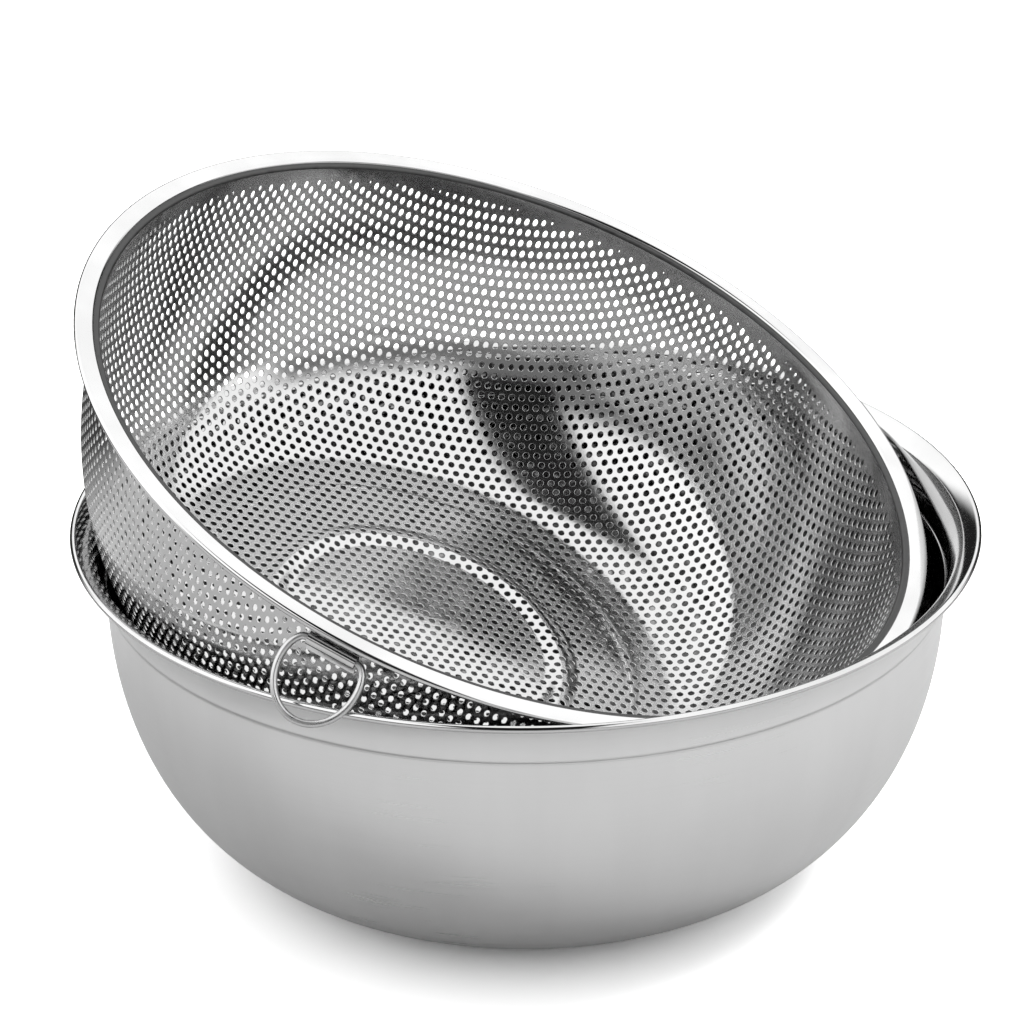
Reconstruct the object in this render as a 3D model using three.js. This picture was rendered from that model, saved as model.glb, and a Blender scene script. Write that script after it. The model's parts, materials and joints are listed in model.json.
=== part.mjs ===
// Basket strainer: a perforated stainless basket with a rolled rim and a hanging ring,
// standing tilted inside its solid mixing bowl. Millimetres, +Z up, origin at the centre of
// the bowl's flat base.
import * as THREE from 'three';

// Bowl
const BOWL_RIM_RADIUS = 140;
const BOWL_HEIGHT = 108.5;
const BOWL_SHEET = 0.7;
const BOWL_BASE_RADIUS = 61;
const BOWL_STEP_HEIGHT = 90.6;
const BOWL_STEP_RADIUS = 129.3;
const BOWL_STEP_OUT = 0.5;
const BOWL_CORNER_POWER = 2.15;
const BOWL_FLARE_START = 97;
const BOWL_FLARE_OUT = 5;
const BOWL_ROLL_RADIUS = 0.75;
const BOWL_ROLL_LIP = 1.5;

// Basket, in its own frame: origin at the rim centre, +Z up its axis, +X to its low side
const BASKET_RIM_RADIUS = 137.8;
const BASKET_DEPTH = 89.7;
// Half-millimetre sheet with its holes punched out weighs as much as this solid one
const BASKET_SHEET = 0.4;
const BASKET_BOTTOM_RADIUS = 74;
const BASKET_WALL_RADIUS = 129.9;
const BASKET_WALL_TOP = 3;
const BASKET_TAPER = 0.057;
const BASKET_DEPTH_POWER = 2.33;
const BASKET_RADIUS_POWER = 2.27;
const BASKET_FLANGE_RADIUS = 136;
const BASKET_FLANGE_DEPTH = 1.2;
const RIDGE_RADIUS = 48.8;
const RIDGE_WIDTH = 12;
const RIDGE_RISE = 1.2;

// Rim hoop, crimped over the basket's flange
const HOOP_SHEET = 0.6;
const HOOP_INNER_RADIUS = 131.5;
const HOOP_ROLL_RADIUS = 0.9;
const HOOP_LIP_RADIUS = 133.1;

// Hanging ring and the clip that holds its straight bar
const WIRE_RADIUS = 1.1;
const RING_ANGLE = -80.3 * Math.PI / 180;
const RING_BAR_RADIUS = 134.4;
const RING_BAR_DEPTH = 7;
const RING_LEAN = 39.5 * Math.PI / 180;
const RING_BAR_HALF = 8.2;
const RING_HALF_WIDTH = 12.2;
const RING_SHOULDER = 7.9;
const RING_LENGTH = 22.3;
const CLIP_WIDTH = 15.4;
const CLIP_BORE_RADIUS = 1.45;
const CLIP_SHEET = 0.6;
const CLIP_LEAF_END = 13.4;
const CLIP_WALL_GAP = 0.35;

// How the basket stands in the bowl
const BASKET_TILT = 22.8 * Math.PI / 180;
const BASKET_AZIMUTH = -30 * Math.PI / 180;
const BASKET_CENTRE = new THREE.Vector3(-4.3, 2.5, BOWL_HEIGHT + 30.5);

const LATHE_SEGMENTS = 64;
const CORNER_STEPS = 10;
const ROLL_STEPS = 4;

function steel(roughness) {
  return new THREE.MeshStandardMaterial({ color: 0xc9cbcc, roughness, metalness: 1 });
}

function point(radius, height) {
  return new THREE.Vector2(radius, height);
}

// Unit normal to the right of the direction of travel, averaged at a joint of two segments
function sideways(line, i) {
  const before = line[Math.max(i - 1, 0)];
  const after = line[Math.min(i + 1, line.length - 1)];
  const into = line[i].clone().sub(before);
  const out = after.clone().sub(line[i]);
  into.normalize();
  out.normalize();
  const along = into.add(out).normalize();
  return point(along.y, -along.x);
}

// Closed outline of a sheet whose middle follows the line
function thicken(line, sheet) {
  const half = sheet / 2;
  const right = line.map((p, i) => p.clone().addScaledVector(sideways(line, i), half));
  const left = line.map((p, i) => p.clone().addScaledVector(sideways(line, i), -half));
  return right.concat(left.reverse());
}

function lathe(outline) {
  const geometry = new THREE.LatheGeometry(outline, LATHE_SEGMENTS);
  geometry.rotateX(Math.PI / 2);
  return geometry;
}

// Middle line of a rolled edge: over the top, round the outside and back underneath
function roll(outerRadius, top, sheet, bend, lipRadius) {
  const centre = point(outerRadius - sheet / 2 - bend, top - sheet / 2 - bend);
  const line = [];
  for (let i = 0; i <= ROLL_STEPS; i += 1) {
    const angle = Math.PI / 2 - Math.PI * i / ROLL_STEPS;
    line.push(point(centre.x + bend * Math.cos(angle), centre.y + bend * Math.sin(angle)));
  }
  line.push(point(lipRadius, centre.y - bend));
  return line;
}

function bowlLine() {
  const line = [point(0, BOWL_SHEET / 2)];
  for (let i = 0; i <= CORNER_STEPS; i += 1) {
    const angle = (Math.PI / 2) * i / CORNER_STEPS;
    const out = Math.sin(angle) ** (2 / BOWL_CORNER_POWER);
    const up = 1 - Math.cos(angle) ** (2 / BOWL_CORNER_POWER);
    const radius = BOWL_BASE_RADIUS + (BOWL_STEP_RADIUS - BOWL_BASE_RADIUS) * out;
    line.push(point(radius, BOWL_SHEET / 2 + (BOWL_STEP_HEIGHT - BOWL_SHEET / 2) * up));
  }
  line.push(point(BOWL_STEP_RADIUS + BOWL_STEP_OUT, BOWL_STEP_HEIGHT + 0.8));
  const wall = BOWL_STEP_RADIUS + BOWL_STEP_OUT + 0.2;
  const rise = BOWL_HEIGHT - BOWL_SHEET / 2 - BOWL_FLARE_START;
  for (const turn of [0, 0.35, 0.65, 0.85, 1]) {
    const angle = turn * Math.PI / 2;
    const radius = wall + BOWL_FLARE_OUT * (1 - Math.cos(angle));
    line.push(point(radius, BOWL_FLARE_START + rise * Math.sin(angle)));
  }
  const lip = BOWL_RIM_RADIUS - BOWL_SHEET / 2 - BOWL_ROLL_RADIUS - BOWL_ROLL_LIP;
  return line.concat(roll(BOWL_RIM_RADIUS, BOWL_HEIGHT, BOWL_SHEET, BOWL_ROLL_RADIUS, lip));
}

function basketLine() {
  const line = [point(0, -BASKET_DEPTH)];
  line.push(point(RIDGE_RADIUS - RIDGE_WIDTH / 2, -BASKET_DEPTH));
  line.push(point(RIDGE_RADIUS, -BASKET_DEPTH + RIDGE_RISE));
  line.push(point(RIDGE_RADIUS + RIDGE_WIDTH / 2, -BASKET_DEPTH));
  for (let i = 0; i <= CORNER_STEPS; i += 1) {
    const angle = (Math.PI / 2) * i / CORNER_STEPS;
    const down = Math.cos(angle) ** (2 / BASKET_DEPTH_POWER);
    const out = Math.sin(angle) ** (2 / BASKET_RADIUS_POWER);
    const depth = BASKET_WALL_TOP + (BASKET_DEPTH - BASKET_WALL_TOP) * down;
    const wall = BASKET_WALL_RADIUS - BASKET_TAPER * (depth - BASKET_WALL_TOP);
    line.push(point(BASKET_BOTTOM_RADIUS + (wall - BASKET_BOTTOM_RADIUS) * out, -depth));
  }
  line.push(point(BASKET_WALL_RADIUS + 0.45, -BASKET_FLANGE_DEPTH - 0.6));
  line.push(point(BASKET_WALL_RADIUS + 1.6, -BASKET_FLANGE_DEPTH));
  line.push(point(BASKET_FLANGE_RADIUS, -BASKET_FLANGE_DEPTH));
  return line;
}

function hoopLine() {
  const line = [point(HOOP_INNER_RADIUS, -HOOP_SHEET / 2)];
  return line.concat(roll(BASKET_RIM_RADIUS, 0, HOOP_SHEET, HOOP_ROLL_RADIUS, HOOP_LIP_RADIUS));
}

// Straight bar, two rounded shoulders and a deep round bow, in the ring's own plane:
// x along the bar, y away from it
function ringPoints() {
  const points = [];
  for (let i = -3; i <= 3; i += 1) {
    points.push(new THREE.Vector3(-RING_BAR_HALF * i / 3, 0, 0));
  }
  const shoulder = (side, turn) => {
    const x = RING_BAR_HALF + (RING_HALF_WIDTH - RING_BAR_HALF) * Math.sin(turn);
    return new THREE.Vector3(side * x, RING_SHOULDER * (1 - Math.cos(turn)), 0);
  };
  for (let i = 1; i <= 5; i += 1) {
    points.push(shoulder(-1, (Math.PI / 2) * i / 5));
  }
  for (let i = 1; i < 16; i += 1) {
    const turn = Math.PI * i / 16;
    const bow = (RING_LENGTH - RING_SHOULDER) * Math.sin(turn);
    points.push(new THREE.Vector3(-RING_HALF_WIDTH * Math.cos(turn), RING_SHOULDER + bow, 0));
  }
  for (let i = 5; i >= 1; i -= 1) {
    points.push(shoulder(1, (Math.PI / 2) * i / 5));
  }
  return points;
}

function ringGeometry() {
  const curve = new THREE.CatmullRomCurve3(ringPoints(), true, 'centripetal');
  return new THREE.TubeGeometry(curve, 60, WIRE_RADIUS, 8, true);
}

// A strap folded round the bar: an eye at the top and a double leaf down the basket's wall.
// Section drawn with x outward from the bar and y up, then swept along the bar.
function clipGeometry() {
  const eye = CLIP_BORE_RADIUS + CLIP_SHEET;
  const wall = BASKET_WALL_RADIUS + BASKET_SHEET / 2 + CLIP_WALL_GAP - RING_BAR_RADIUS;
  const face = wall + 2 * CLIP_SHEET;
  const end = RING_BAR_DEPTH - CLIP_LEAF_END;
  const section = new THREE.Shape();
  section.moveTo(wall, end);
  section.lineTo(face, end);
  section.lineTo(face, -eye - 0.9);
  section.lineTo(face + 0.5, -eye - 0.2);
  section.lineTo(-0.6, -Math.sqrt(eye * eye - 0.36));
  section.absarc(0, 0, eye, Math.atan2(-Math.sqrt(eye * eye - 0.36), -0.6), 2.5, false);
  section.lineTo(wall, -1.6);
  section.closePath();
  const bore = new THREE.Path();
  bore.absarc(0, 0, CLIP_BORE_RADIUS, 0, Math.PI * 2, true);
  section.holes.push(bore);
  const geometry = new THREE.ExtrudeGeometry(section, {
    depth: CLIP_WIDTH,
    bevelEnabled: false,
    curveSegments: 8,
  });
  geometry.translate(0, 0, -CLIP_WIDTH / 2);
  return geometry;
}

function piece(name, geometry, roughness) {
  const mesh = new THREE.Mesh(geometry, steel(roughness));
  mesh.name = name;
  return mesh;
}

// Everything at the ring: z along the bar's tangent, x outward, y up the basket's axis
function ringMount() {
  const mount = new THREE.Group();
  const outward = new THREE.Vector3(Math.cos(RING_ANGLE), Math.sin(RING_ANGLE), 0);
  const up = new THREE.Vector3(0, 0, 1);
  const tangent = outward.clone().cross(up);
  const basis = new THREE.Matrix4().makeBasis(outward, up, tangent);
  mount.quaternion.setFromRotationMatrix(basis);
  mount.position.copy(outward).multiplyScalar(RING_BAR_RADIUS);
  mount.position.z = -RING_BAR_DEPTH;

  mount.add(piece('ring_clip', clipGeometry(), 0.25));

  const ring = piece('hanging_ring', ringGeometry(), 0.2);
  const down = new THREE.Vector3(Math.sin(RING_LEAN), -Math.cos(RING_LEAN), 0);
  const along = new THREE.Vector3(0, 0, 1);
  const normal = along.clone().cross(down);
  ring.quaternion.setFromRotationMatrix(new THREE.Matrix4().makeBasis(along, down, normal));
  mount.add(ring);
  return mount;
}

const group = new THREE.Group();
group.add(piece('bowl', lathe(thicken(bowlLine(), BOWL_SHEET)), 0.35));

const basket = new THREE.Group();
basket.position.copy(BASKET_CENTRE);
basket.rotation.set(0, BASKET_TILT, BASKET_AZIMUTH, 'ZYX');
basket.add(piece('strainer_screen', lathe(thicken(basketLine(), BASKET_SHEET)), 0.18));
const hoopOutline = thicken(hoopLine(), HOOP_SHEET);
hoopOutline.push(hoopOutline[0].clone());
basket.add(piece('rim_hoop', lathe(hoopOutline), 0.15));
basket.add(ringMount());
group.add(basket);

export default group;
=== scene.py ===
"""Looks of the basket strainer: a punched steel basket with a rolled rim and a hanging ring,
standing tilted in its mixing bowl. Metres, +Z up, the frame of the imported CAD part."""

import json
import math

import bmesh
import bpy
import numpy as np
from mathutils import Matrix, Vector
from mathutils.geometry import delaunay_2d_cdt


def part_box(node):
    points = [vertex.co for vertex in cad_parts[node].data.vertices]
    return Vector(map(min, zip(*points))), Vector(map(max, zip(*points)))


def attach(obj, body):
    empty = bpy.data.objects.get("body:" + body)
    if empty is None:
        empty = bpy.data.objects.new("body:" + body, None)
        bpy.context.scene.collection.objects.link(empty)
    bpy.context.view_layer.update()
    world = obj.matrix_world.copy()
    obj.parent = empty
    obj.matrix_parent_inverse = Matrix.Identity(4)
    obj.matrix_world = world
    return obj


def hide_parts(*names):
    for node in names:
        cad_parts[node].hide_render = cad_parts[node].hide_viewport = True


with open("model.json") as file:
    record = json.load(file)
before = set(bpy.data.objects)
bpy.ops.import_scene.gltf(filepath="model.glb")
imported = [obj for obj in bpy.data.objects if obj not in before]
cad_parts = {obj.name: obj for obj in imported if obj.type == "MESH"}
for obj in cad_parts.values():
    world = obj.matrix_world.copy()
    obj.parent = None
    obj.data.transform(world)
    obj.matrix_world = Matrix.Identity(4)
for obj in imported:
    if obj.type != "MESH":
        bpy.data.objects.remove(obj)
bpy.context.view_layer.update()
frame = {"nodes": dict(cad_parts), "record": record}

MM = 0.001

# Bowl: the profile's driving sizes, then how far down from the rim's top the outside is polished,
# and the heights between which the painted shade that darkens the inside fades out
BOWL_SHEET = 0.7 * MM
BOWL_HUB_RADIUS = 0.5 * MM
BOWL_BASE_RADIUS = 61 * MM
BOWL_STEP_HEIGHT = 90.6 * MM
BOWL_STEP_RADIUS = 129.3 * MM
BOWL_STEP_OUT = 0.35 * MM
BOWL_STEP_RISE = 1.4 * MM
BOWL_CORNER_POWER = 2.15
BOWL_FLARE_RADII = (24.3 * MM, 7.3 * MM, 26 * MM)
BOWL_FLARE_SLOPES = (62, 36, 27)
BOWL_ROLL_RADIUS = 0.75 * MM
BOWL_ROLL_LIP = 1.5 * MM
BOWL_POLISHED_TOP = 2.4 * MM
BOWL_PAINTED_SHADE_FADE = (94 * MM, 104 * MM)

# Basket, in its own frame: origin at the rim centre, +Z up its axis, +X to its low side
SCREEN_SHEET = 0.5 * MM
BASKET_BOTTOM_RADIUS = 74 * MM
BASKET_WALL_RADIUS = 129.9 * MM
BASKET_WALL_TOP = 3 * MM
FILLET_TOP = 1.9 * MM
BASKET_TAPER = 0.057
BASKET_DEPTH_POWER = 2.33
BASKET_RADIUS_POWER = 2.27
BASKET_FLANGE_RADIUS = 135.6 * MM
BASKET_FLANGE_DEPTH = 1.2 * MM
FILLET_RADIUS = 0.5 * MM
RIDGE_RADIUS = 48.8 * MM
RIDGE_WIDTH = 12 * MM
RIDGE_RISE = 1.2 * MM
CREASE_RADIUS = 73 * MM
CREASE_WIDTH = 2.4 * MM
CREASE_RISE = 0.25 * MM

# Holes, punched in the flat blank before it is drawn. The edge depth and the back edge are
# shares of HOLE_EDGE, and the holes next to the collar shrink to a share of their size.
HOLE_PITCH = 3.63 * MM
HOLE_RADIUS = 1.0 * MM
HOLE_EDGE = 0.2 * MM
HOLE_EDGE_DEPTH = 0.7
HOLE_BACK_EDGE = 0.5
HOLE_LEAST = 0.25
EDGE_TURN = math.radians(65)
HOLE_SIDES = 12
LATTICE_TURN = math.radians(36.4)
FIRST_HOLES = 5.9 * MM
BAND_TOP = 2.7 * MM
COLLAR_FADE = 1.6 * MM

# Panels of the punched sheet, the depth down to which it is seam with painted shade, and the bake
# square's margin
SEAM_SHADE_DEPTH = FILLET_TOP + 0.01 * MM
SCREEN_PANELS = 6
BAKE_MARGIN = 4 * MM

# Rim hoop
HOOP_SHEET = 0.6 * MM
HOOP_INNER_RADIUS = 131.8 * MM
HOOP_EDGE_RADIUS = 1 * MM
HOOP_ROLL_RADIUS = 0.9 * MM
HOOP_LIP_RADIUS = 133.1 * MM
HOOP_SHARP_ANGLE = math.radians(50)

# Hanging ring
WIRE_RADIUS = 1.1 * MM
WIRE_SIDES = 20
RING_BAR_HALF = 8.2 * MM
RING_HALF_WIDTH = 12.2 * MM
RING_SHOULDER = 7.9 * MM
RING_LENGTH = 22.3 * MM
RING_ROUNDING = 3

# Clip: a strap folded round the ring's bar, whose eye ends at an angle in radians
CLIP_WIDTH = 15.4 * MM
CLIP_BORE_RADIUS = 1.45 * MM
CLIP_SHEET = 0.6 * MM
CLIP_LEAF_END = 13.4 * MM
CLIP_WALL_GAP = 0.35 * MM
CLIP_BEVEL = 0.3 * MM
CLIP_NECK = 0.6 * MM
CLIP_BEND_OUT = 0.5 * MM
CLIP_BEND_LOW = 0.9 * MM
CLIP_BEND_HIGH = 0.2 * MM
CLIP_TAIL = 1.6 * MM
CLIP_EYE_END = 2.5
CLIP_SHARP_ANGLE = math.radians(35)

# Thickness of the cup's sheet in the CAD part, and the steps round a turned piece
CAD_SCREEN_SHEET = 0.4 * MM
LATHE_SEGMENTS = 288

# The part of a noise texture's range that most of its values fill
NOISE_RANGE = (0.3, 0.7)

# Camera
CAMERA_ELEVATION = math.radians(25.17)
CAMERA_DISTANCE = 1.2854
CAMERA_TARGET = (-0.00414, 0, 0.10915)
CAMERA_ROLL = -0.0064
CAMERA_LENS = 146.6
CAMERA_SENSOR = 36
CAMERA_CLIP = (0.05, 60)

# Lamp
LAMP_PLACE = (0.9, 0.1, 1.4)
LAMP_TARGET = (0, 0, 0.1)
LAMP_SIZE = (0.6, 0.6)
LAMP_POWER = 14

# Floor: half its side, its brightness to the camera, and in reflections its brightness up to
# the object and behind it, with the distances between which the one fades into the other
FLOOR_HALF = 12.0
FLOOR_SEEN = 1.45
FLOOR_NEAR = 0.52
FLOOR_FAR = 0.03
FLOOR_FADE = (0.12, 0.30)

# Tent: the brightness of its white and dark parts, then where the dark parts fade out.
# Directions have x to the right, y away from the camera and z up.
TENT_WHITE = 1.7
TENT_DARK = 0.02
STRIP_SIDES = (0.20, 0.32)
STRIP_FAR_END = (-0.12, 0.0)
STRIP_LOW_END = (0.10, 0.24)
STRIP_LOW_SHARE = 0.45
BEHIND_TOP = (0.28, 0.42)
BEHIND_SIDES = (0.55, 0.75)
FRONT_TOP = (0.30, 0.50)
FRONT_SHARE = 0.85
FRONT_FAR_END = (-0.45, -0.2)
FRONT_SLANT = (-0.1, 0.25)
FRONT_SLANT_DROP = 0.22
LEFT_FADE = (-0.9, -0.1)
LEFT_GAIN = 1.15


# ---------------------------------------------------------------- frame of the basket

def node_points(name):
    """Corner points of a CAD node's mesh."""
    mesh = frame["nodes"][name].data
    points = np.empty(len(mesh.vertices) * 3)
    mesh.vertices.foreach_get("co", points)
    return points.reshape(-1, 3)


def unit(v):
    return v / np.linalg.norm(v)


def basket_frame():
    """Origin and axes (rows) of the basket: the hoop is turned about its axis."""
    points = np.unique(np.round(node_points("rim_hoop"), 7), axis=0)
    middle = points.mean(axis=0)
    up = np.linalg.svd(points - middle, full_matrices=False)[2][2]
    up = up * np.sign(up[2])
    origin = middle + up * ((points - middle) @ up).max()
    low = unit(np.array([0, 0, -1]) + up * up[2])
    return origin, np.array([low, np.cross(up, low), up])


BASKET_ORIGIN, BASKET_AXES = basket_frame()
BASKET_DEPTH = -((node_points("strainer_screen") - BASKET_ORIGIN) @ BASKET_AXES[2]).min()
BASKET_DEPTH -= CAD_SCREEN_SHEET / 2
BASKET_RIM_RADIUS = np.linalg.norm(
    (node_points("rim_hoop") - BASKET_ORIGIN) @ BASKET_AXES[:2].T, axis=1).max()
BOWL_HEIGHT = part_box("bowl")[1][2]
BOWL_RIM_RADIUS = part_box("bowl")[1][0]


def from_basket(points):
    """Points of the basket's own frame in the shared frame."""
    return BASKET_ORIGIN + points @ BASKET_AXES


# ---------------------------------------------------------------- mesh building

def mesh_object(name, points, polygons, slots=None, uv=None, normals=None):
    """An object from points and a list of (faces, corners) index arrays, smooth shaded."""
    mesh = bpy.data.meshes.new(name)
    corners = np.concatenate([faces.ravel() for faces in polygons]).astype(np.int32)
    sizes = np.concatenate([np.full(len(faces), faces.shape[1]) for faces in polygons])
    starts = np.concatenate([[0], np.cumsum(sizes)[:-1]]).astype(np.int32)
    mesh.vertices.add(len(points))
    mesh.vertices.foreach_set("co", np.ascontiguousarray(points, dtype=np.float32).ravel())
    mesh.loops.add(len(corners))
    mesh.loops.foreach_set("vertex_index", corners)
    mesh.polygons.add(len(sizes))
    mesh.polygons.foreach_set("loop_start", starts)
    if slots is not None:
        mesh.polygons.foreach_set("material_index", np.concatenate(slots).astype(np.int32))
    mesh.update(calc_edges=True)
    mesh.validate()
    mesh.shade_smooth()
    if uv is not None:
        layer = mesh.uv_layers.new(name="OFBake")
        layer.data.foreach_set("uv", uv[corners].astype(np.float32).ravel())
    if normals is not None:
        mesh.normals_split_custom_set_from_vertices(normals)
    piece = bpy.data.objects.new(name, mesh)
    bpy.context.scene.collection.objects.link(piece)
    return piece


def grid_faces(rows, columns):
    """Quads of a grid of points numbered row by row, closed both ways."""
    row, column = np.meshgrid(np.arange(rows), np.arange(columns), indexing="ij")
    row, column = row.ravel(), column.ravel()
    next_row, next_column = (row + 1) % rows, (column + 1) % columns
    return np.stack([row * columns + column, next_row * columns + column,
                     next_row * columns + next_column, row * columns + next_column], axis=1)


def revolve(outline, segments):
    """Points of a closed outline (radius, height) turned about Z, one row per outline point."""
    angle = np.arange(segments) * 2 * math.pi / segments
    radius, height = outline[:, :1], outline[:, 1:]
    turned = [radius * np.cos(angle), radius * np.sin(angle), height * np.ones((1, segments))]
    return np.stack(turned, axis=2).reshape(-1, 3)


def normals_of(line):
    """Unit normals of a line of (radius, height), to the left of its direction."""
    along = np.gradient(line, axis=0)
    along /= np.linalg.norm(along, axis=1, keepdims=True)
    return np.stack([-along[:, 1], along[:, 0]], axis=1)


def thicken(line, sheet):
    """Closed outline of a sheet whose middle follows the line, with its left side first."""
    side = normals_of(line) * sheet / 2
    return np.concatenate([line + side, (line - side)[::-1]])


def arc(centre, radii, start, end, steps):
    """Points of an elliptic arc between two angles in degrees."""
    angle = np.radians(np.linspace(start, end, steps + 1))
    x = centre[0] + radii[0] * np.cos(angle)
    y = centre[1] + radii[1] * np.sin(angle)
    return np.stack([x, y], axis=1)


def closed_loop(low, high):
    """Edges that join the points numbered from low up to high, and the last to the first."""
    return [(k, k + 1 if k + 1 < high else low) for k in range(low, high)]


def triangulate(flat, edges):
    """Triangles between flat points, by number, that keep the given edges."""
    found = delaunay_2d_cdt([Vector(p) for p in flat], edges, [], 0, 1e-9, True)
    origin = np.array([ids[0] for ids in found[3]])
    return origin[np.array([list(face) for face in found[2]])]


# ---------------------------------------------------------------- profiles

def bowl_line():
    """Middle of the bowl's sheet: base, round corner and wall, step, flare, roll and lip."""
    angle = np.linspace(0, math.pi / 2, 90)
    out = np.sin(angle) ** (2 / BOWL_CORNER_POWER)
    up = 1 - np.cos(angle) ** (2 / BOWL_CORNER_POWER)
    low = BOWL_SHEET / 2
    radius = BOWL_BASE_RADIUS + (BOWL_STEP_RADIUS - BOWL_BASE_RADIUS) * out
    wall = np.stack([radius, low + (BOWL_STEP_HEIGHT - low) * up], axis=1)
    flat = np.linspace(BOWL_HUB_RADIUS, BOWL_BASE_RADIUS, 12)[:-1]
    base = np.stack([flat, np.full(len(flat), low)], axis=1)
    turn = np.linspace(0, 1, 9)[1:]
    step = BOWL_STEP_OUT * turn * turn * (3 - 2 * turn)
    shelf = np.stack([BOWL_STEP_RADIUS + step, BOWL_STEP_HEIGHT + BOWL_STEP_RISE * turn], axis=1)
    mouth = np.zeros((1, 2))
    slope = 90
    for bend, after in zip(BOWL_FLARE_RADII + (BOWL_ROLL_RADIUS,), BOWL_FLARE_SLOPES + (-180,)):
        turned = arc((0, 0), (bend, bend), 90 + slope, 90 + after, 12)
        mouth = np.concatenate([mouth, (turned - turned[0] + mouth[-1])[1:]])
        slope = after
    mouth += np.array([BOWL_RIM_RADIUS, BOWL_HEIGHT]) - BOWL_SHEET / 2 - mouth.max(axis=0)
    lip = mouth[-1:] - np.array([[BOWL_ROLL_LIP, 0]])
    return np.concatenate([base, wall, shelf, mouth, lip])


def hoop_line():
    """Middle of the hoop's sheet: inner edge, flat top, outer roll and the lip turned under."""
    centre = (BASKET_RIM_RADIUS - HOOP_SHEET / 2 - HOOP_ROLL_RADIUS, -HOOP_SHEET / 2 - HOOP_ROLL_RADIUS)
    edge = HOOP_EDGE_RADIUS
    inner = arc((HOOP_INNER_RADIUS + edge, -HOOP_SHEET / 2 - edge), (edge, edge), 180, 90, 8)
    across = np.linspace(inner[-1, 0], centre[0], 9)[1:-1]
    flat = np.stack([across, np.full(len(across), -HOOP_SHEET / 2)], axis=1)
    rolled = arc(centre, (HOOP_ROLL_RADIUS, HOOP_ROLL_RADIUS), 90, -90, 12)
    back = np.linspace(centre[0], HOOP_LIP_RADIUS, 4)[1:]
    under = np.stack([back, np.full(len(back), rolled[-1, 1])], axis=1)
    return np.concatenate([inner, flat, rolled, under])


def screen_line():
    """Middle of the basket's sheet, from the axis along the bottom and up to the flange's edge."""
    radius = np.linspace(0, BASKET_BOTTOM_RADIUS, 160)[:-1]
    across = np.clip((radius - RIDGE_RADIUS) / RIDGE_WIDTH, -0.5, 0.5)
    ridge = RIDGE_RISE * np.cos(math.pi * across) ** 2
    across = np.clip((radius - CREASE_RADIUS) / CREASE_WIDTH, -0.5, 0.5)
    ridge = ridge + CREASE_RISE * np.cos(math.pi * across) ** 2
    bottom = np.stack([radius, -BASKET_DEPTH + ridge], axis=1)
    angle = np.linspace(0, math.pi / 2, 240)
    depth = np.cos(angle) ** (2 / BASKET_DEPTH_POWER)
    depth = BASKET_WALL_TOP + (BASKET_DEPTH - BASKET_WALL_TOP) * depth
    wall = BASKET_WALL_RADIUS - BASKET_TAPER * (depth - BASKET_WALL_TOP)
    out = np.sin(angle) ** (2 / BASKET_RADIUS_POWER)
    side = np.stack([BASKET_BOTTOM_RADIUS + (wall - BASKET_BOTTOM_RADIUS) * out, -depth], axis=1)
    centre = (BASKET_WALL_RADIUS + FILLET_RADIUS, -FILLET_TOP)
    fillet = arc(centre, (FILLET_RADIUS, FILLET_TOP - BASKET_FLANGE_DEPTH), 180, 90, 8)
    flange = np.array([[BASKET_FLANGE_RADIUS, -BASKET_FLANGE_DEPTH]])
    return np.concatenate([bottom, side, fillet, flange])


class Drawn:
    """The flat blank drawn into the basket. Each part of the sheet keeps its area, so a point's
    distance from the blank's centre fixes its place on the profile."""

    def __init__(self, line):
        self.line = line
        self.normal = normals_of(line)
        length = np.linalg.norm(np.diff(line, axis=0), axis=1)
        middle = (line[1:, 0] + line[:-1, 0]) / 2
        self.blank = np.sqrt(2 * np.concatenate([[0], np.cumsum(middle * length)]))

    def blank_radius(self, depth):
        """Distance from the blank's centre of the wall's points at this depth below the rim."""
        wall = self.line[:, 0] > BASKET_BOTTOM_RADIUS
        return float(np.interp(-depth, self.line[wall, 1], self.blank[wall]))

    def facing(self, flat):
        """Unit normals of the sheet at blank points, towards the inside of the basket."""
        far = np.hypot(flat[:, 0], flat[:, 1])
        out = np.interp(far, self.blank, self.normal[:, 0])
        up = np.interp(far, self.blank, self.normal[:, 1])
        scale = out / np.maximum(far, 1e-9)
        found = np.stack([flat[:, 0] * scale, flat[:, 1] * scale, up], axis=1)
        return found / np.linalg.norm(found, axis=1, keepdims=True)

    def place(self, flat, offset):
        """Basket points of blank points, offset towards the inside of the basket."""
        far = np.hypot(flat[:, 0], flat[:, 1])
        radius = np.interp(far, self.blank, self.line[:, 0])
        height = np.interp(far, self.blank, self.line[:, 1])
        out = np.interp(far, self.blank, self.normal[:, 0])
        up = np.interp(far, self.blank, self.normal[:, 1])
        size = np.hypot(out, up)
        radius = radius + offset * out / size
        height = height + offset * up / size
        scale = radius / np.maximum(far, 1e-9)
        return np.stack([flat[:, 0] * scale, flat[:, 1] * scale, height], axis=1)


# ---------------------------------------------------------------- punched sheet

def lattice_cells(limit):
    """Whole-number places of the holes whose centres lie within the limit of the blank's centre."""
    reach = int(limit / HOLE_PITCH * 1.2) + 2
    i, j = np.meshgrid(np.arange(-reach, reach + 1), np.arange(-reach, reach + 1), indexing="ij")
    cells = np.stack([i.ravel(), j.ravel()], axis=1)
    far = np.linalg.norm(lattice_place(cells * 6), axis=1)
    return cells[far < limit]


def lattice_place(sixths):
    """Blank points of lattice places given in sixths of the pitch along its two directions."""
    first = np.array([math.cos(LATTICE_TURN), math.sin(LATTICE_TURN)])
    turned = LATTICE_TURN + math.pi / 3
    second = np.array([math.cos(turned), math.sin(turned)])
    return (sixths[:, :1] * first + sixths[:, 1:] * second) * HOLE_PITCH / 6


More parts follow.
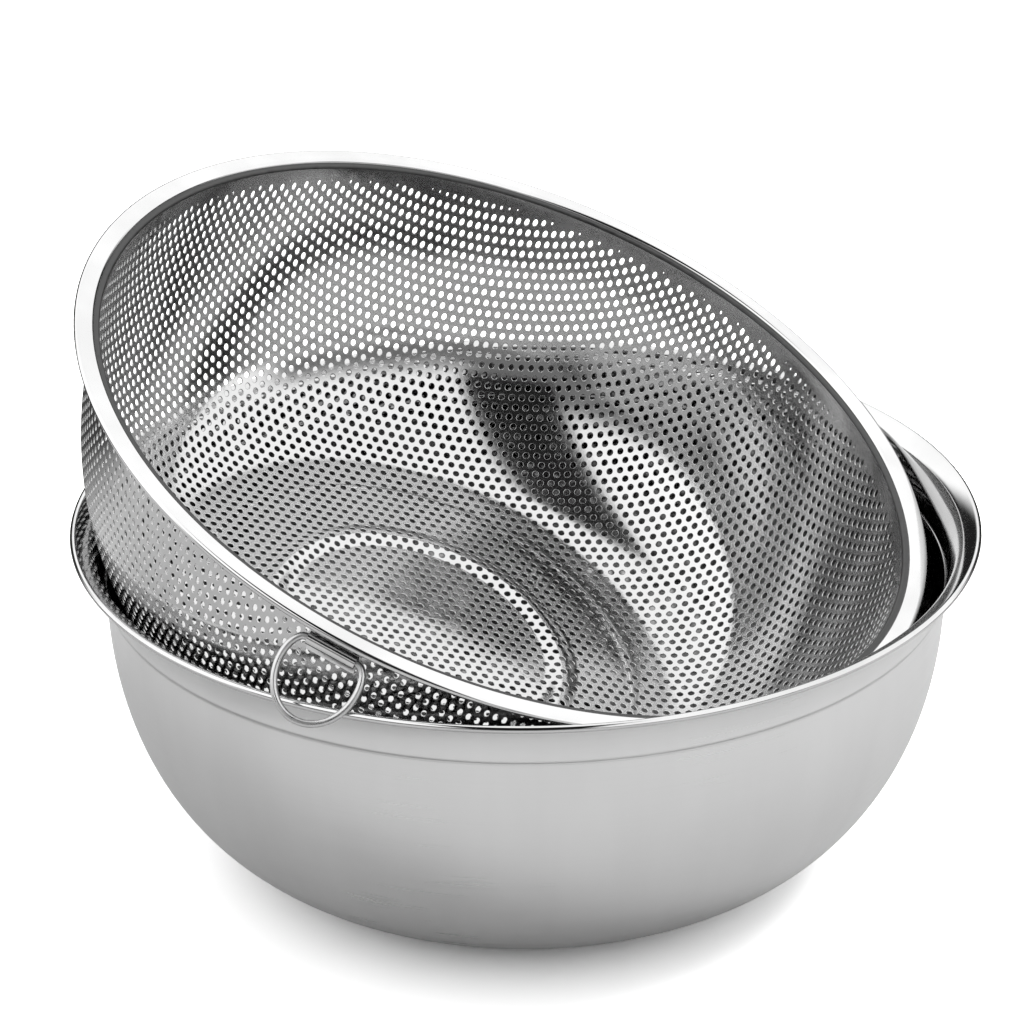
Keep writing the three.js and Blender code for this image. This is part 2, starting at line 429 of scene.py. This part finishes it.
def cell_border():
    """The 12 border points of a six-sided cell, in sixths: edge middles and corners in turn."""
    spokes = [(6, 0), (0, 6), (-6, 6), (-6, 0), (0, -6), (6, -6)]
    border = []
    for k, spoke in enumerate(spokes):
        after = spokes[(k + 1) % 6]
        border.append((spoke[0] // 2, spoke[1] // 2))
        border.append(((spoke[0] + after[0]) // 3, (spoke[1] + after[1]) // 3))
    return np.array(border)


def hole_layers(centres, web, limit):
    """The sheet round the holes as layers of blank points and their offset, from the inner
    face's web over the hole's rounded edges to the outer face's web."""
    angle = LATTICE_TURN + np.arange(HOLE_SIDES) * 2 * math.pi / HOLE_SIDES
    spoke = np.stack([np.cos(angle), np.sin(angle)], axis=1)
    far = np.linalg.norm(centres, axis=1)
    size = np.clip((limit - far) / COLLAR_FADE, HOLE_LEAST, 1)

    def ring(radius):
        return (centres[:, None, :] + (radius * size)[:, None, None] * spoke).reshape(-1, 2)

    half = SCREEN_SHEET / 2
    return [
        (web, half),
        (ring(HOLE_RADIUS + HOLE_EDGE), half),
        (ring(HOLE_RADIUS), half - HOLE_EDGE * HOLE_EDGE_DEPTH),
        (ring(HOLE_RADIUS), -half + HOLE_EDGE * HOLE_BACK_EDGE),
        (ring(HOLE_RADIUS + HOLE_EDGE * HOLE_BACK_EDGE), -half),
        (web, -half),
    ]


def layer_quads(index, start):
    """Quads that join each layer to the next, with the cells' numbers among the web's points
    and each layer's first point number."""
    rings = np.arange(index.size).reshape(index.shape)
    numbers = [start[0] + index] + [start[k] + rings for k in range(1, 5)] + [start[5] + index]
    quads = []
    for outer, inner in zip(numbers[:-1], numbers[1:]):
        quads.append(np.stack([outer, np.roll(outer, -1, axis=1), np.roll(inner, -1, axis=1), inner],
                              axis=2).reshape(-1, 4))
    return quads


def band_triangles(web, index, cells, circle, edge):
    """The web's points round the punched part, and triangles that fill the solid band from
    there to the circle, whose points are numbered after them."""
    sides = np.stack([index, np.roll(index, -1, axis=1)], axis=2).reshape(-1, 2)
    ends, uses = np.unique(np.sort(sides, axis=1), axis=0, return_counts=True)
    rim = ends[uses == 1]
    used = np.unique(rim)
    flat = np.concatenate([web[used], circle])
    edges = [tuple(map(int, pair)) for pair in np.searchsorted(used, rim)]
    triangles = triangulate(flat, edges + closed_loop(len(used), len(flat)))
    middle = flat[triangles].mean(axis=1)
    outside = ~in_cells(middle, cells)
    return used, triangles[outside & (np.linalg.norm(middle, axis=1) < edge)]


def punched_sheet():
    """The drawn basket: points, normals, blank points, which points lie on the inner face,
    quads, and triangles of the solid band."""
    drawn = Drawn(screen_line())
    limit = drawn.blank_radius(FIRST_HOLES)
    edge = drawn.blank_radius(BAND_TOP)
    half = SCREEN_SHEET / 2
    cells = lattice_cells(limit)
    centres = lattice_place(cells * 6)
    border = (cells[:, None, :] * 6 + cell_border()[None, :, :]).reshape(-1, 2)
    shared, index = np.unique(border, axis=0, return_inverse=True)
    index = index.reshape(len(cells), HOLE_SIDES)
    web = lattice_place(shared)

    layers = hole_layers(centres, web, limit)
    start = np.concatenate([[0], np.cumsum([len(flat) for flat, offset in layers])])
    quads = layer_quads(index, start)
    flats = [flat for flat, offset in layers]
    places = [drawn.place(flat, offset) for flat, offset in layers]
    normals = [drawn.facing(flat) * np.sign(offset) for flat, offset in layers]
    middles = np.repeat(drawn.place(centres, 0), HOLE_SIDES, axis=0)
    for k in (2, 3):
        facing = drawn.facing(flats[k])
        inward = middles - places[k]
        inward -= facing * np.sum(inward * facing, axis=1, keepdims=True)
        inward /= np.linalg.norm(inward, axis=1, keepdims=True)
        normals[k] = normals[k] * math.cos(EDGE_TURN) + inward * math.sin(EDGE_TURN)

    # The solid band between the last holes and the top of the wall
    turn = np.arange(LATHE_SEGMENTS * 2) * math.pi / LATHE_SEGMENTS
    circle = edge * np.stack([np.cos(turn), np.sin(turn)], axis=1)
    used, triangles = band_triangles(web, index, cells, circle, edge)
    base = start[-1]
    top_number = np.concatenate([start[0] + used, base + np.arange(len(circle))])
    low_number = np.concatenate([start[5] + used, base + len(circle) + np.arange(len(circle))])
    band = np.concatenate([top_number[triangles], low_number[triangles][:, ::-1]])
    flats += [circle, circle]
    places += [drawn.place(circle, half), drawn.place(circle, -half)]
    normals += [drawn.facing(circle), -drawn.facing(circle)]

    # Top of the wall, fillet and flange, turned about the axis
    line = drawn.line
    rest = drawn.blank > edge
    lip = [np.interp(edge, drawn.blank, line[:, 0]), np.interp(edge, drawn.blank, line[:, 1])]
    upper = np.concatenate([[lip], line[rest]])
    far = np.concatenate([[edge], drawn.blank[rest]])
    rows = len(upper)
    columns = len(circle)
    base = base + 2 * columns
    spokes = circle / edge
    for sign in (1, -1):
        for k in range(1, rows):
            flats.append(spokes * far[k])
            places.append(drawn.place(spokes * far[k], sign * half))
            normals.append(drawn.facing(spokes * far[k]) * sign)
    top = np.concatenate([[start[-1] + np.arange(columns)],
                          base + np.arange((rows - 1) * columns).reshape(rows - 1, columns)])
    low = np.concatenate([[start[-1] + columns + np.arange(columns)],
                          base + (rows - 1) * columns
                          + np.arange((rows - 1) * columns).reshape(rows - 1, columns)])
    loop = np.concatenate([top, low[::-1]])
    for a, b in zip(loop[:-1], loop[1:]):
        quads.append(np.stack([a, b, np.roll(b, -1), np.roll(a, -1)], axis=1))
    flat = np.concatenate(flats)
    points = np.concatenate(places)
    inner = np.ones(len(flat), bool)
    inner[start[3]:start[-1]] = False
    inner[start[-1] + columns:start[-1] + 2 * columns] = False
    inner[base + (rows - 1) * columns:] = False
    return points, np.concatenate(normals), flat, inner, np.concatenate(quads), band


def in_cells(points, cells):
    """True for the blank points that lie in one of these cells."""
    first = lattice_place(np.array([[6, 0]]))[0]
    second = lattice_place(np.array([[0, 6]]))[0]
    place = points @ np.linalg.inv(np.array([first, second]))
    low = np.floor(place).astype(int)
    near = np.full(len(points), 1e9)
    best = low.copy()
    for step in ((0, 0), (1, 0), (0, 1), (1, 1)):
        cell = low + np.array(step)
        gap = np.linalg.norm(points - lattice_place(cell * 6), axis=1)
        closer = gap < near
        near[closer] = gap[closer]
        best[closer] = cell[closer]
    known = {tuple(cell) for cell in cells.tolist()}
    return np.array([tuple(cell) in known for cell in best.tolist()])


def screen_panels(material, seam_shade):
    """The basket in panels of equal angle, cut between faces, with the seam's faces, which carry
    painted shade, in slot 1.
    """
    points, normals, flat, inner, quads, band = punched_sheet()
    height = points[:, 2]
    points = from_basket(points)
    normals = normals @ BASKET_AXES
    width = 2 * math.pi / SCREEN_PANELS
    span = np.linalg.norm(flat, axis=1).max() + 2 * BAKE_MARGIN

    def panel_of(faces):
        middle = flat[faces].mean(axis=1)
        turn = np.arctan2(middle[:, 1], middle[:, 0]) % (2 * math.pi)
        return np.minimum((turn / width).astype(int), SCREEN_PANELS - 1)

    quad_panel, band_panel = panel_of(quads), panel_of(band)
    for k in range(SCREEN_PANELS):
        faces = [quads[quad_panel == k], band[band_panel == k]]
        # The seam's faces take slot 1, a painted shade under the hoop's inner edge.
        slots = [height[part].min(axis=1) > -SEAM_SHADE_DEPTH for part in faces]
        used = np.unique(np.concatenate([part.ravel() for part in faces]))
        faces = [np.searchsorted(used, part) for part in faces]
        turn = (k + 0.5) * width
        along = flat[used] @ np.array([math.cos(turn), math.sin(turn)])
        across = flat[used] @ np.array([-math.sin(turn), math.cos(turn)])
        # The inner face fills the left half of the bake square and the outer face the right half
        u = 0.01 + 0.48 * np.clip((along + BAKE_MARGIN) / span, 0, 1) + np.where(inner[used], 0, 0.5)
        v = 0.5 + 0.98 * across / span
        piece = mesh_object(f"screen_panel_{k + 1}", points[used], faces, slots=slots,
                            uv=np.stack([u, v], axis=1), normals=normals[used])
        piece.data.materials.append(material)
        piece.data.materials.append(seam_shade)
        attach(piece, "strainer_basket")
        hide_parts("strainer_screen")


# ---------------------------------------------------------------- turned pieces

def make_bowl(outside, inside):
    """The bowl, satin outside, and polished inside and along the rim."""
    outline = thicken(bowl_line(), BOWL_SHEET)
    rows = len(outline)
    points = revolve(outline, LATHE_SEGMENTS)
    faces = grid_faces(rows, LATHE_SEGMENTS)[:, ::-1]
    row = faces.min(axis=1) // LATHE_SEGMENTS
    polished = np.where(row < rows // 2, 1, 0)
    polished[outline[row, 1] > BOWL_HEIGHT - BOWL_POLISHED_TOP] = 1
    bowl = mesh_object("mixing_bowl_shell", points, [faces], slots=[polished])
    bowl.data.materials.append(outside)
    bowl.data.materials.append(inside)
    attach(bowl, "mixing_bowl")
    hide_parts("bowl")


def make_hoop(material):
    """The hoop crimped over the cup's flange."""
    outline = thicken(hoop_line(), HOOP_SHEET)
    points = from_basket(revolve(outline, LATHE_SEGMENTS))
    faces = grid_faces(len(outline), LATHE_SEGMENTS)[:, ::-1]
    hoop = mesh_object("rolled_rim_hoop", points, [faces])
    hoop.data.set_sharp_from_angle(angle=HOOP_SHARP_ANGLE)
    hoop.data.materials.append(material)
    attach(hoop, "strainer_basket")
    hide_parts("rim_hoop")


# ---------------------------------------------------------------- ring and clip

def ring_joint():
    """A point on the ring's hinge and the hinge's direction."""
    joint = next(j for j in frame["record"]["behaviour"]["joints"] if j["name"] == "ring_swing")
    return np.array(joint["pos_m"]), unit(np.array(joint["axis"]))


def ring_line():
    """Straight bar, two rounded shoulders and a deep round bow: x along the bar, y away from it."""
    bar = np.stack([np.linspace(RING_BAR_HALF, -RING_BAR_HALF, 12)[1:-1], np.zeros(10)], axis=1)
    turn = np.linspace(0, math.pi / 2, 13)
    x = RING_BAR_HALF + (RING_HALF_WIDTH - RING_BAR_HALF) * np.sin(turn)
    y = RING_SHOULDER * (1 - np.cos(turn))
    left = np.stack([-x, y], axis=1)
    right = np.stack([x, y], axis=1)[::-1]
    sweep = np.linspace(0, math.pi, 41)[1:-1]
    bow = np.stack([-RING_HALF_WIDTH * np.cos(sweep),
                    RING_SHOULDER + (RING_LENGTH - RING_SHOULDER) * np.sin(sweep)], axis=1)
    return np.concatenate([bar, left, bow, right])


def make_ring(material):
    """The wire ring, hanging from its bar as in the CAD part."""
    pivot, axis = ring_joint()
    points = node_points("hanging_ring")
    away = points[np.linalg.norm(points - pivot, axis=1).argmax()] - pivot
    down = unit(away - axis * (away @ axis))
    normal = np.cross(axis, down)
    line = ring_line()
    for _ in range(RING_ROUNDING):
        line = (np.roll(line, 1, axis=0) + 2 * line + np.roll(line, -1, axis=0)) / 4
    along = np.roll(line, -1, axis=0) - np.roll(line, 1, axis=0)
    along /= np.linalg.norm(along, axis=1, keepdims=True)
    side = np.stack([-along[:, 1], along[:, 0]], axis=1)
    angle = np.arange(WIRE_SIDES) * 2 * math.pi / WIRE_SIDES
    flat = line[:, None, :] + WIRE_RADIUS * np.cos(angle)[None, :, None] * side[:, None, :]
    lift = WIRE_RADIUS * np.sin(angle)[None, :, None] * np.ones((len(line), 1, 1))
    tube = pivot + flat[..., :1] * axis + flat[..., 1:] * down + lift * normal
    faces = grid_faces(len(line), WIRE_SIDES)
    ring = mesh_object("hanging_ring_wire", tube.reshape(-1, 3), [faces])
    ring.data.materials.append(material)
    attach(ring, "ring")
    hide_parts("hanging_ring")


def clip_section():
    """Section of the folded strap, x outward from the bar and y up the basket's axis."""
    pivot = ring_joint()[0]
    local = BASKET_AXES @ (pivot - BASKET_ORIGIN)
    bar_radius = math.hypot(local[0], local[1])
    eye = CLIP_BORE_RADIUS + CLIP_SHEET
    wall = BASKET_WALL_RADIUS + CAD_SCREEN_SHEET / 2 + CLIP_WALL_GAP - bar_radius
    face = wall + 2 * CLIP_SHEET
    end = -local[2] - CLIP_LEAF_END
    shoulder = math.sqrt(eye * eye - CLIP_NECK ** 2)
    foot = [
        [wall, end + CLIP_BEVEL],
        [wall + CLIP_BEVEL, end],
        [face - CLIP_BEVEL, end],
        [face, end + CLIP_BEVEL],
        [face, -eye - CLIP_BEND_LOW],
        [face + CLIP_BEND_OUT, -eye - CLIP_BEND_HIGH],
    ]
    start = math.degrees(math.atan2(-shoulder, -CLIP_NECK))
    around = arc((0, 0), (eye, eye), start, math.degrees(CLIP_EYE_END), 28)
    tail = [[wall, -CLIP_TAIL]]
    return np.concatenate([foot, around, tail])


def make_clip(material):
    """The clip: its section, with the bore for the bar, drawn out along the bar."""
    pivot, axis = ring_joint()
    up = BASKET_AXES[2]
    outward = unit(np.cross(up, axis))
    if outward @ (pivot - BASKET_ORIGIN) < 0:
        outward = -outward
    section = clip_section()
    bore = arc((0, 0), (CLIP_BORE_RADIUS, CLIP_BORE_RADIUS), 0, 360, 28)[:-1]
    every = np.concatenate([section, bore])
    count = len(section)
    total = len(every)
    triangles = triangulate(every, closed_loop(0, count) + closed_loop(count, total))
    middle = every[triangles].mean(axis=1)
    keep = inside_outline(middle, section) & (np.linalg.norm(middle, axis=1) > CLIP_BORE_RADIUS * 0.99)
    triangles = triangles[keep]
    flat = pivot + every[:, :1] * outward + every[:, 1:] * up
    steps = np.linspace(-CLIP_WIDTH / 2, CLIP_WIDTH / 2, 9)
    rows = np.concatenate([flat + z * axis for z in steps])
    faces = []
    for low, high in ((0, count), (count, total)):
        number = np.arange(low, high)
        after = np.roll(number, -1)
        for k in range(len(steps) - 1):
            faces.append(np.stack([number, after, after + total, number + total], axis=1) + k * total)
    caps = np.concatenate([triangles[:, ::-1], triangles + total * (len(steps) - 1)])
    clip = mesh_object("ring_clip_strap", rows, [np.concatenate(faces), caps])
    outward_faces(clip)
    clip.data.set_sharp_from_angle(angle=CLIP_SHARP_ANGLE)
    clip.data.materials.append(material)
    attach(clip, "strainer_basket")
    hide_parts("ring_clip")


def inside_outline(points, outline):
    """True for the points inside the closed outline, by counting crossings."""
    inside = np.zeros(len(points), bool)
    for a, b in zip(outline, np.roll(outline, -1, axis=0)):
        crosses = (a[1] > points[:, 1]) != (b[1] > points[:, 1])
        with np.errstate(divide="ignore", invalid="ignore"):
            x = a[0] + (points[:, 1] - a[1]) * (b[0] - a[0]) / (b[1] - a[1])
        inside ^= crosses & (points[:, 0] < x)
    return inside


def outward_faces(piece):
    """Turns every face to point out of the closed piece."""
    shape = bmesh.new()
    shape.from_mesh(piece.data)
    bmesh.ops.recalc_face_normals(shape, faces=shape.faces)
    shape.to_mesh(piece.data)
    shape.free()


# ---------------------------------------------------------------- materials

class Nodes:
    """Short calls for building a node tree."""

    def __init__(self, tree):
        self.tree = tree

    def add(self, kind, **values):
        node = self.tree.nodes.new(kind)
        for name, value in values.items():
            setattr(node, name, value)
        return node

    def link(self, source, target):
        self.tree.links.new(source, target)

    def math(self, operation, a, b=None):
        node = self.add("ShaderNodeMath", operation=operation)
        for socket, value in zip(node.inputs, (a, b)):
            if value is None:
                continue
            if isinstance(value, (int, float)):
                socket.default_value = value
            else:
                self.link(value, socket)
        return node.outputs[0]

    def ramp(self, value, low, high, start=0.0, end=1.0, smooth=True):
        node = self.add("ShaderNodeMapRange", interpolation_type="SMOOTHSTEP" if smooth else "LINEAR")
        self.link(value, node.inputs["Value"])
        for name, number in zip(("From Min", "From Max", "To Min", "To Max"), (low, high, start, end)):
            node.inputs[name].default_value = number
        return node.outputs["Result"]

    def noise(self, vector, scale, detail=3.0, roughness=0.5):
        node = self.add("ShaderNodeTexNoise")
        self.link(vector, node.inputs["Vector"])
        node.inputs["Scale"].default_value = scale
        node.inputs["Detail"].default_value = detail
        node.inputs["Roughness"].default_value = roughness
        return node.outputs["Fac"]

    def shade(self, value, low, high):
        """Grey between two brightnesses by a value from 0 to 1."""
        node = self.add("ShaderNodeMix", data_type="RGBA")
        self.link(value, node.inputs["Factor"])
        node.inputs["A"].default_value = (low, low, low, 1)
        node.inputs["B"].default_value = (high, high, high, 1)
        return node.outputs["Result"]


def steel(name):
    """A metal material's node helper and shader."""
    material = bpy.data.materials.new(name)
    material.use_nodes = True
    nodes = Nodes(material.node_tree)
    shader = material.node_tree.nodes["Principled BSDF"]
    shader.inputs["Metallic"].default_value = 1.0
    return material, nodes, shader


def bump(nodes, shader, height, distance):
    """Relief from a height from 0 to 1 that stands for the distance in metres."""
    node = nodes.add("ShaderNodeBump")
    node.inputs["Strength"].default_value = 1.0
    node.inputs["Distance"].default_value = distance
    nodes.link(height, node.inputs["Height"])
    nodes.link(node.outputs["Normal"], shader.inputs["Normal"])


def spun_lines(nodes, around, across, detail=4.0):
    """Fine lines that run round the object's own axis, and the place they are made from."""
    place = nodes.add("ShaderNodeTexCoord").outputs["Object"]
    split = nodes.add("ShaderNodeSeparateXYZ")
    nodes.link(place, split.inputs[0])
    x, y, z = split.outputs
    turn = nodes.math("ARCTAN2", y, x)
    square = nodes.math("ADD", nodes.math("MULTIPLY", x, x), nodes.math("MULTIPLY", y, y))
    radius = nodes.math("SQRT", square)
    join = nodes.add("ShaderNodeCombineXYZ")
    nodes.link(nodes.math("MULTIPLY", nodes.math("COSINE", turn), around), join.inputs[0])
    nodes.link(nodes.math("MULTIPLY", nodes.math("SINE", turn), around), join.inputs[1])
    nodes.link(nodes.math("MULTIPLY", nodes.math("SUBTRACT", z, radius), across), join.inputs[2])
    return nodes.noise(join.outputs[0], scale=1.0, detail=detail, roughness=0.6), place


def satin_steel():
    """Spun satin outside of the bowl."""
    material, nodes, shader = steel("bowl_satin")
    lines, place = spun_lines(nodes, around=1.2, across=2600)
    cloud = nodes.noise(place, scale=16, detail=2)
    patch = spun_lines(nodes, around=7, across=14, detail=2.0)[0]
    mixed = nodes.math("ADD", nodes.math("MULTIPLY", lines, 0.4), nodes.math("MULTIPLY", patch, 0.6))
    nodes.link(nodes.shade(mixed, low=0.60, high=0.72), shader.inputs["Base Color"])
    fine = nodes.ramp(lines, *NOISE_RANGE, start=0.28, end=0.38)
    broad = nodes.ramp(cloud, *NOISE_RANGE, start=-0.02, end=0.03)
    nodes.link(nodes.math("ADD", fine, broad), shader.inputs["Roughness"])
    bump(nodes, shader, lines, distance=0.00001)
    return material


def mirror_steel(name, low=0.06, high=0.13, brightness=0.53, painted_shade=1.0):
    """Polished steel with faint spinning marks, roughness from low to high, and a painted shade
    that darkens its colour by a given factor below the bowl's flare."""
    material, nodes, shader = steel(name)
    lines, place = spun_lines(nodes, around=1.5, across=900)
    cloud = nodes.noise(place, scale=30, detail=3)
    split = nodes.add("ShaderNodeSeparateXYZ")
    nodes.link(place, split.inputs[0])
    tone = nodes.ramp(cloud, *NOISE_RANGE, start=brightness - 0.04, end=brightness + 0.03)
    # Painted shade: the colour is darker below the bowl's flare.
    painted_shade_ramp = nodes.ramp(split.outputs[2], *BOWL_PAINTED_SHADE_FADE, start=painted_shade, end=1)
    tone = nodes.math("MULTIPLY", tone, painted_shade_ramp)
    nodes.link(tone, shader.inputs["Base Color"])
    nodes.link(nodes.ramp(lines, *NOISE_RANGE, start=low, end=high), shader.inputs["Roughness"])
    bump(nodes, shader, cloud, distance=0.00004)
    return material


def screen_steel():
    """Punched sheet, drawn and polished, with a faint grain."""
    material, nodes, shader = steel("screen_steel")
    place = nodes.add("ShaderNodeTexCoord").outputs["Object"]
    cloud = nodes.noise(place, scale=40, detail=3)
    grain = nodes.noise(place, scale=900, detail=2)
    nodes.link(nodes.shade(cloud, low=0.47, high=0.55), shader.inputs["Base Color"])
    broad = nodes.ramp(cloud, *NOISE_RANGE, start=0.08, end=0.13)
    fine = nodes.ramp(grain, *NOISE_RANGE, start=-0.02, end=0.03)
    nodes.link(nodes.math("ADD", broad, fine), shader.inputs["Roughness"])
    bump(nodes, shader, grain, distance=0.00001)
    return material


def painted_seam_shade():
    """Painted shade: dark, dull metal in the seam under the hoop's inner edge."""
    material, nodes, shader = steel("painted_seam_shade")
    place = nodes.add("ShaderNodeTexCoord").outputs["Object"]
    cloud = nodes.noise(place, scale=300, detail=3)
    # Near-black colour: painted shade in the crevice under the hoop.
    nodes.link(nodes.shade(cloud, low=0.03, high=0.12), shader.inputs["Base Color"])
    nodes.link(nodes.ramp(cloud, *NOISE_RANGE, start=0.4, end=0.6), shader.inputs["Roughness"])
    return material


def wire_steel(name, low, high, brightness=0.6):
    """Drawn wire and folded strap, roughness from low to high."""
    material, nodes, shader = steel(name)
    place = nodes.add("ShaderNodeTexCoord").outputs["Object"]
    cloud = nodes.noise(place, scale=260, detail=3)
    nodes.link(nodes.shade(cloud, brightness - 0.04, brightness + 0.04), shader.inputs["Base Color"])
    nodes.link(nodes.ramp(cloud, *NOISE_RANGE, start=low, end=high), shader.inputs["Roughness"])
    bump(nodes, shader, cloud, distance=0.00002)
    return material


# ---------------------------------------------------------------- studio

def make_floor():
    """A plain floor, white to the camera and darker in reflections."""
    mesh = bpy.data.meshes.new("floor")
    corners = [(x * FLOOR_HALF, y * FLOOR_HALF, 0) for x, y in ((-1, -1), (1, -1), (1, 1), (-1, 1))]
    mesh.from_pydata(corners, [], [(0, 1, 2, 3)])
    floor = bpy.data.objects.new("floor", mesh)
    bpy.context.scene.collection.objects.link(floor)
    material = bpy.data.materials.new("floor_white")
    material.use_nodes = True
    nodes = Nodes(material.node_tree)
    shader = material.node_tree.nodes["Principled BSDF"]
    place = nodes.add("ShaderNodeTexCoord").outputs["Object"]
    cloud = nodes.noise(place, scale=3, detail=2)
    split = nodes.add("ShaderNodeSeparateXYZ")
    nodes.link(place, split.inputs[0])
    lit = nodes.ramp(split.outputs[1], *FLOOR_FADE, start=FLOOR_NEAR, end=FLOOR_FAR)
    seen = nodes.add("ShaderNodeLightPath").outputs["Is Camera Ray"]
    white = nodes.math("MAXIMUM", nodes.math("MULTIPLY", seen, FLOOR_SEEN), lit)
    white = nodes.math("MULTIPLY", white, nodes.ramp(cloud, *NOISE_RANGE, start=0.99, end=1.01))
    nodes.link(white, shader.inputs["Base Color"])
    shader.inputs["Roughness"].default_value = 0.9
    shader.inputs["Specular IOR Level"].default_value = 0.2
    mesh.materials.append(material)


def make_world():
    """A white tent with a dark strip over the camera and dark low down in front and behind.
    To the camera itself it is white all over."""
    world = bpy.data.worlds.new("studio")
    bpy.context.scene.world = world
    world.use_nodes = True
    nodes = Nodes(world.node_tree)
    back = world.node_tree.nodes["Background"]
    back.inputs["Color"].default_value = (1, 1, 1, 1)
    split = nodes.add("ShaderNodeSeparateXYZ")
    nodes.link(nodes.add("ShaderNodeTexCoord").outputs["Generated"], split.inputs[0])
    x, y, z = split.outputs
    aside = nodes.math("ABSOLUTE", x)
    strip = nodes.math("MULTIPLY", nodes.ramp(aside, *STRIP_SIDES, start=1, end=0),
                       nodes.ramp(y, *STRIP_FAR_END, start=1, end=0))
    strip = nodes.math("MULTIPLY", strip, nodes.ramp(z, *STRIP_LOW_END, start=STRIP_LOW_SHARE, end=1))
    behind = nodes.math("MULTIPLY", nodes.ramp(z, *BEHIND_TOP, start=1, end=0),
                        nodes.ramp(y, *BEHIND_SIDES, start=0, end=1))
    raised = nodes.math("ADD", z, nodes.ramp(x, *FRONT_SLANT, start=0, end=FRONT_SLANT_DROP))
    front = nodes.ramp(raised, *FRONT_TOP, start=FRONT_SHARE, end=0)
    front = nodes.math("MULTIPLY", front, nodes.ramp(y, *FRONT_FAR_END, start=1, end=0))
    dark = nodes.math("MAXIMUM", nodes.math("MAXIMUM", strip, behind), front)
    tent = nodes.ramp(dark, 0, 1, start=TENT_WHITE, end=TENT_DARK, smooth=False)
    tent = nodes.math("MULTIPLY", tent, nodes.ramp(x, *LEFT_FADE, start=LEFT_GAIN, end=1.0))
    seen = nodes.add("ShaderNodeLightPath").outputs["Is Camera Ray"]
    nodes.link(nodes.math("MAXIMUM", tent, seen), back.inputs["Strength"])


def make_lamp():
    """One soft lamp that doesn't show in reflections."""
    data = bpy.data.lights.new("top_soft", "AREA")
    data.shape = "RECTANGLE"
    data.size, data.size_y = LAMP_SIZE
    data.energy = LAMP_POWER
    light = bpy.data.objects.new("top_soft", data)
    light.visible_glossy = False
    light.location = LAMP_PLACE
    light.rotation_mode = "QUATERNION"
    aim = Vector(LAMP_TARGET) - Vector(LAMP_PLACE)
    light.rotation_quaternion = aim.to_track_quat("-Z", "Y")
    bpy.context.scene.collection.objects.link(light)


def make_camera():
    """The view of the studio picture: 25 degrees down, with a long lens."""
    data = bpy.data.cameras.new("camera")
    data.sensor_width = CAMERA_SENSOR
    data.lens = CAMERA_LENS
    data.clip_start, data.clip_end = CAMERA_CLIP
    camera = bpy.data.objects.new("camera", data)
    back = Vector((0, -math.cos(CAMERA_ELEVATION), math.sin(CAMERA_ELEVATION)))
    camera.location = Vector(CAMERA_TARGET) + back * CAMERA_DISTANCE
    camera.rotation_mode = "QUATERNION"
    turn = (-back).to_track_quat("-Z", "Y")
    camera.rotation_quaternion = turn @ Matrix.Rotation(CAMERA_ROLL, 4, "Z").to_quaternion()
    bpy.context.scene.collection.objects.link(camera)
    bpy.context.scene.camera = camera


make_camera()
make_world()
make_floor()
make_lamp()

bpy.context.scene.view_settings.view_transform = "Standard"

# The bowl's inside is given painted shade below the flare.
make_bowl(satin_steel(), mirror_steel("bowl_mirror", painted_shade=0.6))
make_hoop(mirror_steel("rim_mirror", high=0.12, brightness=0.57))
screen_panels(screen_steel(), painted_seam_shade())
make_clip(wire_steel("clip_polished", low=0.06, high=0.11))
make_ring(wire_steel("wire_drawn", low=0.24, high=0.34, brightness=0.5))
